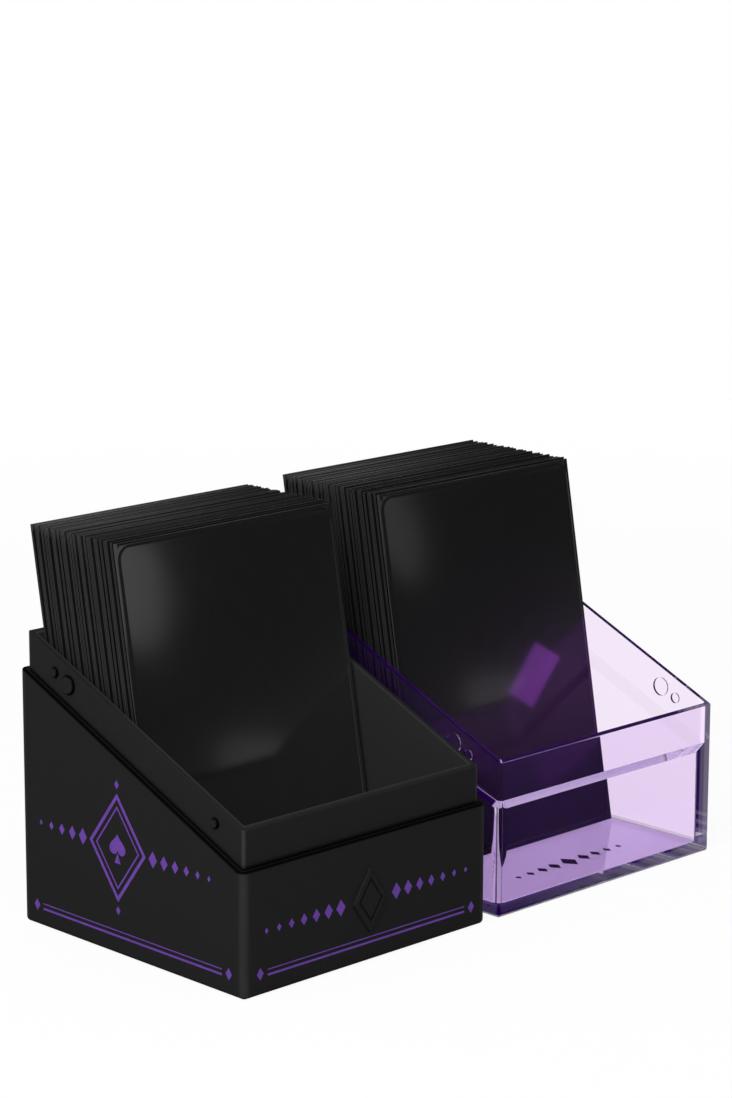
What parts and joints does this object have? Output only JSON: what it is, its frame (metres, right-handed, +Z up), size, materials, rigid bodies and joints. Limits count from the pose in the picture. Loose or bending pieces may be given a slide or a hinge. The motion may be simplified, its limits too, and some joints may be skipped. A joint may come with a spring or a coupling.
{
  "type": "deck case",
  "caption": "Two-part deck case standing open: black base with a raised collar and slanted rim, clear violet lid beside it, each holding a leaning deck of sleeved cards.",
  "frame": {"origin": "middle of the base's underside, which stands on the table", "axes": "+Z up, +Y from the low front rim to the high back, +X from the base to the lid beside it"},
  "size_m": [0.1545, 0.078, 0.0926],
  "materials": {
    "base_black": "fine satin moulding grain with violet line print",
    "liner_black": "fine satin moulding grain",
    "badge_black": "satin, a little smoother than the shell",
    "lid_violet": "polished, clear, tinted pale violet",
    "sleeve_black": "black film with a soft sheen"
  },
  "bodies": {
    "base": {"base_shell": "base_black", "base_liner": "liner_black", "front_badge": "badge_black"},
    "base_deck": {"base_card_02": "sleeve_black", "base_card_03": "sleeve_black", "base_card_04": "sleeve_black", "base_card_05": "sleeve_black", "base_card_06": "sleeve_black", "base_card_07": "sleeve_black", "base_card_08": "sleeve_black", "base_card_09": "sleeve_black", "base_card_10": "sleeve_black", "base_card_11": "sleeve_black", "base_card_12": "sleeve_black", "base_card_13": "sleeve_black", "base_card_14": "sleeve_black", "base_card_15": "sleeve_black", "base_card_16": "sleeve_black", "base_card_17": "sleeve_black", "base_card_18": "sleeve_black", "base_card_19": "sleeve_black", "base_card_20": "sleeve_black", "base_card_21": "sleeve_black", "base_card_22": "sleeve_black", "base_card_23": "sleeve_black", "base_card_24": "sleeve_black", "base_card_25": "sleeve_black", "base_card_26": "sleeve_black"},
    "base_front_card": {"base_card_01": "sleeve_black"},
    "lid": {"lid_shell": "lid_violet"},
    "lid_deck": {"lid_card_02": "sleeve_black", "lid_card_03": "sleeve_black", "lid_card_04": "sleeve_black", "lid_card_05": "sleeve_black", "lid_card_06": "sleeve_black", "lid_card_07": "sleeve_black", "lid_card_08": "sleeve_black", "lid_card_09": "sleeve_black", "lid_card_10": "sleeve_black", "lid_card_11": "sleeve_black", "lid_card_12": "sleeve_black", "lid_card_13": "sleeve_black", "lid_card_14": "sleeve_black", "lid_card_15": "sleeve_black", "lid_card_16": "sleeve_black", "lid_card_17": "sleeve_black", "lid_card_18": "sleeve_black", "lid_card_19": "sleeve_black", "lid_card_20": "sleeve_black", "lid_card_21": "sleeve_black", "lid_card_22": "sleeve_black", "lid_card_23": "sleeve_black", "lid_card_24": "sleeve_black", "lid_card_25": "sleeve_black", "lid_card_26": "sleeve_black", "lid_card_27": "sleeve_black", "lid_card_28": "sleeve_black", "lid_card_29": "sleeve_black"},
    "lid_front_card": {"lid_card_01": "sleeve_black"}
  },
  "joints": [
    {"name": "lid_lift", "type": "slide", "parent": "base", "child": "lid", "axis": [0, 0, 1], "range_m": [0, 0.12]},
    {"name": "base_deck_lift", "type": "slide", "parent": "base", "child": "base_deck", "axis": [0, 0.1736, 0.9848], "range_m": [0, 0.11]},
    {"name": "base_front_card_draw", "type": "slide", "parent": "base_deck", "child": "base_front_card", "axis": [0, 0.1736, 0.9848], "range_m": [0, 0.1]},
    {"name": "lid_deck_lift", "type": "slide", "parent": "lid", "child": "lid_deck", "axis": [0, 0.1736, 0.9848], "range_m": [0, 0.11]},
    {"name": "lid_front_card_draw", "type": "slide", "parent": "lid_deck", "child": "lid_front_card", "axis": [0, 0.1736, 0.9848], "range_m": [0, 0.1]}
  ]
}
